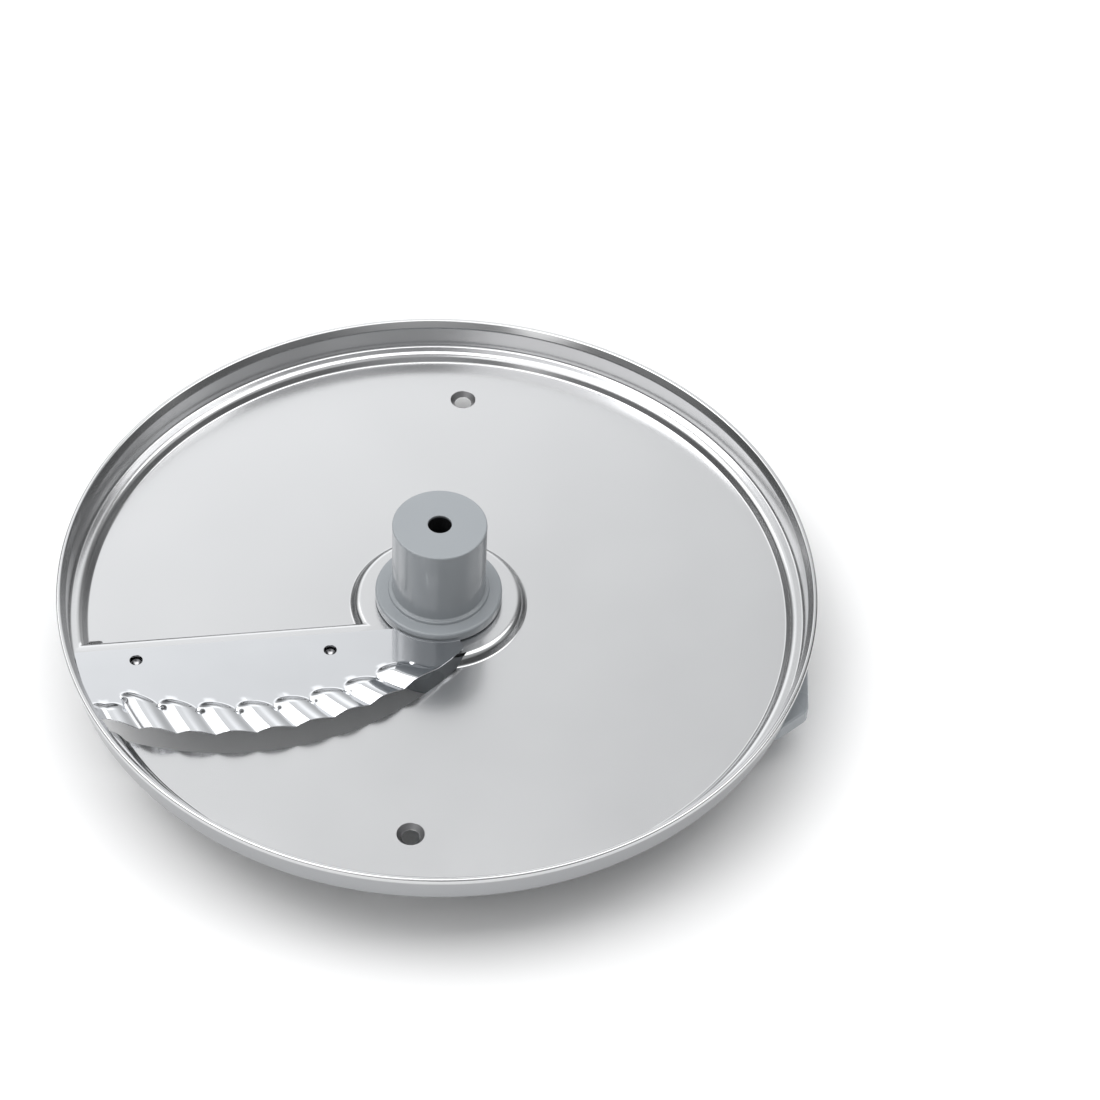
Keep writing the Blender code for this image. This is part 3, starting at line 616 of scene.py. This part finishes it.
def screw_material():
    """Plain turned steel with fine rings, and ends above the plate painted dark as painted shade."""
    material, tree, shader = new_material("screw_turned_steel")
    shader.inputs["Metallic"].default_value = 1.0
    rings = add_noise(tree, (1.0, 1.0, 60.0), 90.0, 3.0)
    # Painted shade: the part of the screw above the plate is painted dark
    end = add_range(tree, height_of_point(tree), 0.0, 1.0, SEAT_Z, SEAT_Z + CLEARANCE)
    steel = add_mix(tree, end, add_colour(tree, rings, *SCREW_STEEL), SCREW_END_PAINTED_SHADE)
    tree.links.new(steel, shader.inputs["Base Color"])
    tree.links.new(add_range(tree, rings, *SCREW_ROUGHNESS), shader.inputs["Roughness"])
    add_bump(tree, rings, 0.15, 0.00003, shader)
    return material


def ground_material():
    material, tree, shader = new_material("pale_floor")
    cloud = add_noise(tree, (1.0, 1.0, 1.0), 3.0, 2.0)
    tree.links.new(add_colour(tree, cloud, *GROUND_PAINT), shader.inputs["Base Color"])
    tree.links.new(add_range(tree, cloud, *GROUND_ROUGHNESS), shader.inputs["Roughness"])
    return material


# Plate

def plate_profile():
    """Section of the plate before its floor and its raised parts are pressed."""
    outer_foot = WALL_FOOT_INNER + SHEET
    outer_top = WALL_TOP_INNER + SHEET
    return rounded([
        (WALL_TOP_INNER + LIP_FLARE, LIP_Z, LIP_ROUND),
        (DISC_RADIUS, LIP_Z, LIP_ROUND),
        (DISC_RADIUS, LIP_Z - SHEET, LIP_ROUND / 2),
        (outer_top, LIP_Z - LIP_DEPTH - SHEET / 2, LIP_DEPTH / 2),
        (outer_foot, RAISED_UNDERSIDE_Z, CORNER_FILLET),
        (LEDGE_INNER, RAISED_UNDERSIDE_Z, STEP_FILLET),
        (FLOOR_RADIUS, UNDERSIDE_Z, STEP_FILLET),
        (PLATE_BORE, UNDERSIDE_Z, 0),
        (PLATE_BORE, SEAT_Z, 0),
        (WALL_FOOT_INNER, SEAT_Z, WALL_FILLET),
        (WALL_TOP_INNER, LIP_Z - LIP_DEPTH, LIP_DEPTH / 2),
    ])


def mouth_points(edge_radius, centre, inner, outer):
    """Points along an arc of the slicing mouth, from the circle near the hub out to the rim."""
    start = polar(inner, angle_on_hub_circle(inner, centre, edge_radius))
    end = polar(outer, angle_on_hub_circle(outer, centre, edge_radius))
    return arc(centre, edge_radius, angle_about(centre, start), angle_about(centre, end),
               MOUTH_STEPS)


def pressed_outline(boss, back, rim, keep_floor):
    """Outline of the sunk floor, or of the raised boss and seat, at one height of their slope."""
    between = (EDGE_RADIUS + SEAT_FRONT_RADIUS) / 2
    lost = mouth_points(between, EDGE_CENTRE, boss, rim)
    boss_end = angle_about((0, 0), lost[0])
    rim_end = angle_about((0, 0), lost[-1])
    boss_start = math.pi - math.asin(back / boss)
    rim_start = math.pi - math.asin(back / rim)
    boss_arc = arc((0, 0), boss, boss_start, boss_end % math.tau - math.tau, HUB_STEPS * 3 // 4)
    if keep_floor:
        rim_arc = arc((0, 0), rim, rim_end % math.tau - math.tau, rim_start, RIM_STEPS)
    else:
        rim_arc = arc((0, 0), rim, rim_end % math.tau, rim_start, 24)
    return (boss_arc + lost[1:] + rim_arc[1:])[::-1 if keep_floor else 1]


def pressed_slope():
    """The slope from the floor up to the raised parts, as (run, height) points from the bottom up."""
    return rounded([
        (-RISER_RUN, FLOOR_Z, 0),
        (0.0, FLOOR_Z, FLOOR_FILLET),
        (RISER_RUN, SEAT_Z, SHOULDER_FILLET),
        (RISER_RUN * 3, SEAT_Z, 0),
    ], steps=SLOPE_STEPS)[1:-1]


def make_plate(material):
    plate = turned("plate", plate_profile(), RIM_STEPS)
    sunk = []
    for run, height in pressed_slope():
        sunk.append((pressed_outline(HUB_BOSS_RADIUS - run, SEAT_BACK_Y - run,
                                     FLOOR_RADIUS + run, True), height))
    sunk.append((sunk[-1][0], SEAT_Z + OVERCUT))
    combine(plate, lofted("floor_recess", sunk))

    # The underside follows, one sheet thickness below
    hollow = []
    extra = OVERCUT / STEP_HEIGHT
    for share in (-extra, 1.0):
        run = SHEET / 2 + RISER_RUN * share
        height = UNDERSIDE_Z + STEP_HEIGHT * share
        hollow.append((pressed_outline(HUB_BOSS_RADIUS - run, SEAT_BACK_Y - run,
                                       LEDGE_INNER + SHEET / 2, False), height))
    combine(plate, lofted("raised_hollow", hollow))

    # Slicing mouth
    inner = MOUTH_INNER_RADIUS
    outer = WALL_FOOT_INNER - MOUTH_WALL_GAP
    front = mouth_points(MOUTH_RADIUS, MOUTH_CENTRE, inner, outer)
    back = mouth_points(SEAT_FRONT_RADIUS, EDGE_CENTRE, inner, outer)
    rim = arc((0, 0), outer, angle_about((0, 0), front[-1]), angle_about((0, 0), back[-1]), 16)
    boss = arc((0, 0), inner, angle_about((0, 0), back[0]), angle_about((0, 0), front[0]), 24)
    outline = front + rim[1:] + back[::-1][1:] + boss[1:-1]
    combine(plate, prism("mouth", outline, UNDERSIDE_Z - OVERCUT, SEAT_Z + OVERCUT / 2))

    # Relief slot, holes for the fixings and two countersunk holes
    low, high = UNDERSIDE_Z - OVERCUT, SEAT_Z + OVERCUT
    left = -math.sqrt(FLOOR_RADIUS**2 - SEAT_BACK_Y**2)
    front = SEAT_BACK_Y - RISER_RUN
    back = front + RELIEF_SIZE[1]
    slot = rounded([
        (left, front, RELIEF_ROUND),
        (left + RELIEF_SIZE[0], front, RELIEF_ROUND),
        (left + RELIEF_SIZE[0], back, RELIEF_ROUND),
        (left, back, RELIEF_ROUND),
    ])
    combine(plate, prism("relief", slot, low, high))
    for place in (*BLADE_SCREWS, *hub_screw_places()):
        combine(plate, cylinder("screw_hole", SCREW_HOLE, low, high, place))
    slope = (PLATE_HOLE_TOP_RADIUS - PLATE_HOLE_RADIUS) / SHEET
    over = OVERCUT / 4
    for i in range(2):
        place = polar(PLATE_HOLE_CENTRE_RADIUS, PLATE_HOLE_ANGLE + math.pi * i)
        hole = cylinder("plate_hole", PLATE_HOLE_RADIUS - slope * over, UNDERSIDE_Z - over,
                        FLOOR_Z + over, place, top_radius=PLATE_HOLE_TOP_RADIUS + slope * over)
        combine(plate, hole)
    return finished(plate, "disc_plate", material)


# Blade

def ripple_start(radius):
    """Angle at which the blade starts to rise, at a given radius."""
    if radius > RIPPLE_CREASE:
        return RIM_RIPPLE_START
    return angle_on_hub_circle(radius, RIPPLE_START_CENTRE, RIPPLE_START_RADIUS)


def ripple_drift(radius):
    """How far outwards a ripple moves between its start and the edge, less at both blade ends."""
    at_rim = min(1.0, max(0.0, (RIPPLE_CREASE - radius) / RIPPLE_FADE))
    at_hub = min(1.0, max(0.0, (radius - MOUTH_INNER_RADIUS) / (RIPPLE_FADE / 2)))
    return RIPPLE_DRIFT * at_rim * at_hub


def ripple_height(radius, along):
    """Height of the blade's top over its flat.

    Round fingers lie side by side with a crease between them. Each has a rounded back end, and its
    outer flank is steeper than its inner one. The radius is the one at which the ripple starts.
    """
    place = (RIPPLE_CREASE - radius) / RIPPLE_PITCH
    number = math.floor(place)
    if number < -1 or number >= RIPPLE_COUNT:
        return 0.0
    share = place - number
    if share < RIPPLE_CREST:
        across = 1 - share / RIPPLE_CREST
    else:
        across = (share - RIPPLE_CREST) / (1 - RIPPLE_CREST)
    behind = max(0.0, 1 - along / RIPPLE_CAP)
    distance = math.hypot(across, behind)
    height = 0.0
    if distance < 1:
        height = RIPPLE_HEIGHT * math.cos(math.pi / 2 * distance)**RIPPLE_FULLNESS
    for crease in (number, number + 1):
        aside = radius - (RIPPLE_CREASE - RIPPLE_PITCH * crease)
        far = math.hypot(aside, along - RIPPLE_CAP) / PINCH_RADIUS
        height -= PINCH_DEPTH * math.exp(-far * far * 2)
    return height


def blade_rows():
    """Radii of the blade's grid lines, one of them on each crease."""
    innermost = RIPPLE_CREASE - RIPPLE_PITCH * RIPPLE_COUNT
    rows = [BLADE_INNER + (innermost - BLADE_INNER) * i / BLADE_INNER_ROWS
            for i in range(BLADE_INNER_ROWS)]
    step = RIPPLE_PITCH / RIPPLE_ROWS
    fine = int((BLADE_OUTER - innermost) / step)
    rows += [innermost + step * i for i in range(fine + 1)]
    return rows + [BLADE_OUTER]


def steps_between(start, end, steps):
    """Even steps from a start towards an end, without the end."""
    return [start + (end - start) * i / steps for i in range(steps)]


def make_blade(material):
    shape = bmesh.new()
    grid = []
    for radius in blade_rows():
        drift = ripple_drift(radius)
        back = math.pi - math.asin(BLADE_BACK_Y / radius)
        tip = radius + drift
        edge = min(angle_on_hub_circle(tip, EDGE_CENTRE, EDGE_RADIUS), EDGE_TIP_ANGLE)
        bevel = edge - BEVEL_WIDTH / tip
        start = min(ripple_start(radius), bevel - RIPPLE_CAP / radius)
        end = start + RIPPLE_CAP / radius
        angles = steps_between(back, start, BLADE_FLAT_STEPS)
        angles += steps_between(start, end, RIPPLE_CAP_STEPS)
        angles += steps_between(end, bevel, FINGER_STEPS)
        angles += [bevel + (edge - bevel) * i / BEVEL_STEPS for i in range(BEVEL_STEPS + 1)]
        row = []
        for angle in angles:
            share = min(1.0, max(0.0, (angle - start) / (edge - start)))
            height = ripple_height(radius, radius * (angle - start))
            place = polar(radius + drift * share, angle)
            row.append(shape.verts.new((*place, BLADE_TOP + height)))
        grid.append(row)
    for inner, outer in zip(grid, grid[1:]):
        for i in range(len(inner) - 1):
            shape.faces.new((inner[i], outer[i], outer[i + 1], inner[i + 1]))
    bmesh.ops.recalc_face_normals(shape, faces=shape.faces)
    if sum(face.normal.z for face in shape.faces) < 0:
        bmesh.ops.reverse_faces(shape, faces=shape.faces)
    shape.verts.index_update()
    thin = {}
    for row in grid:
        for i in range(BEVEL_STEPS + 1):
            thin[row[i - BEVEL_STEPS - 1].index] = i / BEVEL_STEPS
    mesh = bpy.data.meshes.new("blade")
    shape.to_mesh(mesh)
    shape.free()
    blade = add_object("blade", mesh)

    # The bevel is ground from below, so the sheet keeps its top and thins at the cutting edge
    full = blade.vertex_groups.new(name="thickness")
    for vertex in mesh.vertices:
        share = 1 - (1 - EDGE_THICKNESS / BLADE_SHEET) * thin.get(vertex.index, 0.0)
        full.add([vertex.index], share, "REPLACE")
    wall = blade.modifiers.new("sheet", "SOLIDIFY")
    wall.thickness = BLADE_SHEET
    wall.offset = -1
    wall.vertex_group = full.name
    for place in BLADE_SCREWS:
        combine(blade, cylinder("blade_thread", SCREW_HOLE, BLADE_BOTTOM - OVERCUT,
                                BLADE_TOP + OVERCUT, place))
    return finished(blade, "ripple_blade", material, edge_angle=40)


# Hub

def socket_outline():
    """Round bore with one flat."""
    half = math.acos(SOCKET_FLAT / SOCKET_RADIUS)
    return arc((0, 0), SOCKET_RADIUS, half, math.tau - half, SOCKET_STEPS)


def make_hub(material):
    top = FLOOR_Z + HUB_HEIGHT
    flange = FLOOR_Z + FLANGE_HEIGHT
    profile = rounded([
        (VENT_RADIUS, top, 0.0002),
        (HUB_RADIUS, top, HUB_CHAMFER),
        (HUB_RADIUS, flange + FOOT_RING_HEIGHT, HUB_CHAMFER),
        (FOOT_RING_RADIUS, flange + FOOT_RING_HEIGHT, HUB_CHAMFER),
        (FOOT_RING_RADIUS, flange, HUB_CHAMFER / 2),
        (FLANGE_RADIUS, flange, FLANGE_ROUND),
        (FLANGE_RADIUS, HUB_BOTTOM, CLEARANCE),
        (VENT_RADIUS, HUB_BOTTOM, 0),
    ])
    hub = turned("hub", profile, HUB_STEPS)
    combine(hub, prism("hub_socket", socket_outline(), HUB_BOTTOM - OVERCUT, FLOOR_Z + SOCKET_TOP))
    for place in hub_screw_places():
        combine(hub, cylinder("hub_thread", SCREW_HOLE, HUB_BOTTOM - OVERCUT,
                              HUB_BOTTOM + HUB_SCREW_GRIP + CLEARANCE, place))
    return finished(hub, "drive_hub", material)


# Ejector

def wing_outline():
    """One wing seen from above: a swept vane that ends inside the broad tip under the rim."""
    vane_end = WING_TIP_RADIUS - WING_TIP_DEPTH / 2
    root = BOSS_RADIUS - WING_THICKNESS
    centre_line = []
    for i in range(WING_STEPS + 1):
        share = i / WING_STEPS
        radius = root + (vane_end - root) * share
        angle = WING_ROOT_ANGLE + (WING_TIP_ANGLE - WING_ROOT_ANGLE) * share**WING_CURVE
        centre_line.append(polar(radius, angle))
    left, right = [], []
    for i, (x, y) in enumerate(centre_line):
        ahead = centre_line[min(i + 1, WING_STEPS)]
        behind = centre_line[max(i - 1, 0)]
        run = math.hypot(ahead[0] - behind[0], ahead[1] - behind[1])
        side = ((behind[1] - ahead[1]) / run, (ahead[0] - behind[0]) / run)
        half = WING_THICKNESS / 2
        left.append((x + side[0] * half, y + side[1] * half))
        right.append((x - side[0] * half, y - side[1] * half))
    return right + left[::-1]


def tip_outline():
    """The wing's tip: a rounded block with two outer sides that meet at a blunt point."""
    back = WING_TIP_ANGLE + WING_TIP_BACK
    front = WING_TIP_ANGLE - WING_TIP_FRONT
    inner = WING_TIP_RADIUS - WING_TIP_DEPTH
    return rounded([
        (*polar(inner, front), WING_TIP_ROUND),
        (*polar(WING_TIP_RADIUS - WING_TIP_END_SLOPE, front), WING_TIP_ROUND),
        (*polar(WING_TIP_RADIUS, WING_TIP_ANGLE), WING_TIP_ROUND),
        (*polar(WING_TIP_RADIUS - WING_TIP_SLOPE, back), WING_TIP_ROUND),
        (*polar(inner, back), WING_TIP_ROUND),
    ], steps=TIP_STEPS)


def soften(item, width):
    edge = item.modifiers.new("soft edges", "BEVEL")
    edge.width = width
    edge.segments = EDGE_STEPS
    edge.limit_method = "ANGLE"
    edge.angle_limit = math.radians(50)


def make_ejector(material):
    boss = turned("ejector_boss", rounded([
        (0.0, EJECTOR_TOP, 0),
        (BOSS_RADIUS, EJECTOR_TOP, CLEARANCE),
        (BOSS_RADIUS, 0.0, CLEARANCE),
        (0.0, 0.0, 0),
    ]), HUB_STEPS, on_axis=True)
    tip_bottom = WING_TOP - WING_TIP_HEIGHT
    for i in range(2):
        turn = math.pi * i
        vane = prism("vane", wing_outline(), 0.0, WING_TOP - CLEARANCE)
        vane.rotation_euler.z = turn
        reach = WING_TIP_RADIUS + OVERCUT
        wedge = prism("vane_slope", [
            (WING_FLAT_RADIUS, -OVERCUT), (reach, -OVERCUT), (reach, tip_bottom + CLEARANCE),
        ], -reach, reach)
        wedge.rotation_euler = (math.pi / 2, 0, WING_TIP_ANGLE + turn)
        combine(vane, wedge)
        soften(vane, WING_EDGE_ROUND)
        combine(boss, vane, "UNION")
        tip = prism("wing_tip", tip_outline(), tip_bottom, WING_TOP)
        tip.rotation_euler.z = turn
        soften(tip, WING_EDGE_ROUND)
        combine(boss, tip, "UNION")
    combine(boss, prism("ejector_socket", socket_outline(), -OVERCUT, EJECTOR_TOP + OVERCUT))
    seat = FLOOR_Z - HUB_SCREW_SEAT
    for place in hub_screw_places():
        combine(boss, cylinder("ejector_screw_hole", SCREW_HOLE, seat - OVERCUT,
                               EJECTOR_TOP + OVERCUT, place))
        combine(boss, cylinder("ejector_head_well", SCREW_HEAD_RADIUS + CLEARANCE, -OVERCUT, seat,
                               place))
    return finished(boss, "ejector", material)


# Screws, driven from below

def make_screw(node, place, seat, end, material):
    under = seat - SCREW_HEAD_HEIGHT
    screw = turned("screw", rounded([
        (0.0, end - SCREW_CUP_DEPTH, 0),
        (SCREW_CUP_RADIUS, end, 0),
        (SCREW_RADIUS, end, CLEARANCE / 4),
        (SCREW_RADIUS, seat, 0),
        (SCREW_HEAD_RADIUS, seat, 0),
        (SCREW_HEAD_RADIUS, under, SCREW_HEAD_HEIGHT / 3),
        (0.0, under, 0),
    ], steps=EDGE_STEPS), HOLE_STEPS, on_axis=True)
    combine(screw, cylinder("key", SCREW_KEY_RADIUS, under - OVERCUT, under + SCREW_KEY_DEPTH,
                            (0, 0), steps=SCREW_KEY_SIDES))
    screw = as_mesh(screw)
    screw.data.transform(Matrix.Translation((*place, 0)))
    return finished(screw, node, material)


def make_screws(material):
    for i, place in enumerate(BLADE_SCREWS, 1):
        make_screw(f"blade_screw_{i}", place, RAISED_UNDERSIDE_Z - CLEARANCE,
                   BLADE_TOP - SCREW_END_RECESS, material)
    for i, place in enumerate(hub_screw_places(), 1):
        make_screw(f"hub_screw_{i}", place, FLOOR_Z - HUB_SCREW_SEAT - CLEARANCE,
                   HUB_BOTTOM + HUB_SCREW_GRIP, material)


# Studio

def make_ground():
    shape = bmesh.new()
    bmesh.ops.create_grid(shape, x_segments=8, y_segments=8, size=GROUND_SIZE)
    mesh = bpy.data.meshes.new("ground")
    shape.to_mesh(mesh)
    shape.free()
    ground = add_object("ground", mesh)
    mesh.materials.append(ground_material())


def make_camera():
    """The camera stands in front of the disc and a little to its left, and looks down at 47 degrees."""
    data = bpy.data.cameras.new("camera")
    data.sensor_width = CAMERA_SENSOR
    data.lens = CAMERA_LENS
    data.clip_start = 0.01
    camera = bpy.data.objects.new("camera", data)
    GROUP.objects.link(camera)
    camera.matrix_world = Matrix.Translation(CAMERA_PLACE) @ Matrix(CAMERA_TURN).to_4x4()
    bpy.context.scene.camera = camera


def direction(azimuth, elevation):
    """Azimuth 0 is behind the disc as the camera sees it and 90 is on its left."""
    a, e = math.radians(azimuth), math.radians(elevation)
    return Vector((-math.sin(a) * math.cos(e), math.cos(a) * math.cos(e), math.sin(e)))


def add_softbox(name, azimuth, elevation, distance, width, height, radiance):
    """A soft panel that faces the disc."""
    data = bpy.data.lights.new(name, "AREA")
    data.shape = "RECTANGLE"
    data.size = width
    data.size_y = height
    data.energy = radiance * math.pi * width * height
    light = bpy.data.objects.new(name, data)
    GROUP.objects.link(light)
    out = direction(azimuth, elevation)
    light.location = out * distance
    light.rotation_euler = out.to_track_quat("Z", "Y").to_euler()


def add_glow(tree, total, name, azimuth, elevation, inner, outer, radiance):
    """A wide soft glow of the studio's walls and ceiling, full within one angle and gone at another."""
    place = tree.nodes.new("ShaderNodeTexCoord")
    near = tree.nodes.new("ShaderNodeVectorMath")
    near.operation = "DOT_PRODUCT"
    near.inputs[1].default_value = direction(azimuth, elevation)
    spread = tree.nodes.new("ShaderNodeMapRange")
    spread.name = name
    spread.interpolation_type = "SMOOTHSTEP"
    spread.inputs["From Min"].default_value = math.cos(math.radians(outer))
    spread.inputs["From Max"].default_value = math.cos(math.radians(inner))
    spread.inputs["To Min"].default_value = 0.0
    spread.inputs["To Max"].default_value = radiance
    tree.links.new(place.outputs["Generated"], near.inputs[0])
    tree.links.new(near.outputs["Value"], spread.inputs["Value"])
    add = tree.nodes.new("ShaderNodeMath")
    add.operation = "ADD"
    tree.links.new(spread.outputs["Result"], add.inputs[0])
    if total is None:
        add.name = "base"
        add.inputs[1].default_value = STUDIO_BASE
    else:
        tree.links.new(total, add.inputs[1])
    return add.outputs["Value"]


def make_light():
    world = bpy.data.worlds.new("studio")
    bpy.context.scene.world = world
    world.use_nodes = True
    tree = world.node_tree
    background = tree.nodes["Background"]
    background.inputs["Color"].default_value = (*STUDIO_TINT, 1.0)
    total = None
    for glow in GLOWS:
        total = add_glow(tree, total, *glow)
    tree.links.new(total, background.inputs["Strength"])
    for panel in PANELS:
        add_softbox(*panel)
    settings = bpy.context.scene.view_settings
    settings.view_transform = "Standard"
    settings.look = "None"


def main():
    make_camera()
    make_ground()
    make_light()
    make_plate(plate_material())
    make_blade(blade_material())
    make_hub(plastic_material("hub_grey", HUB_GREY, HUB_ROUGHNESS, VENT_RADIUS,
                              FLOOR_Z + HUB_HEIGHT))
    make_ejector(plastic_material("ejector_grey", EJECTOR_GREY, EJECTOR_ROUGHNESS))
    make_screws(screw_material())
    for cutter in CUTTERS:
        bpy.data.objects.remove(cutter, do_unlink=True)


main()
bpy.context.view_layer.update()
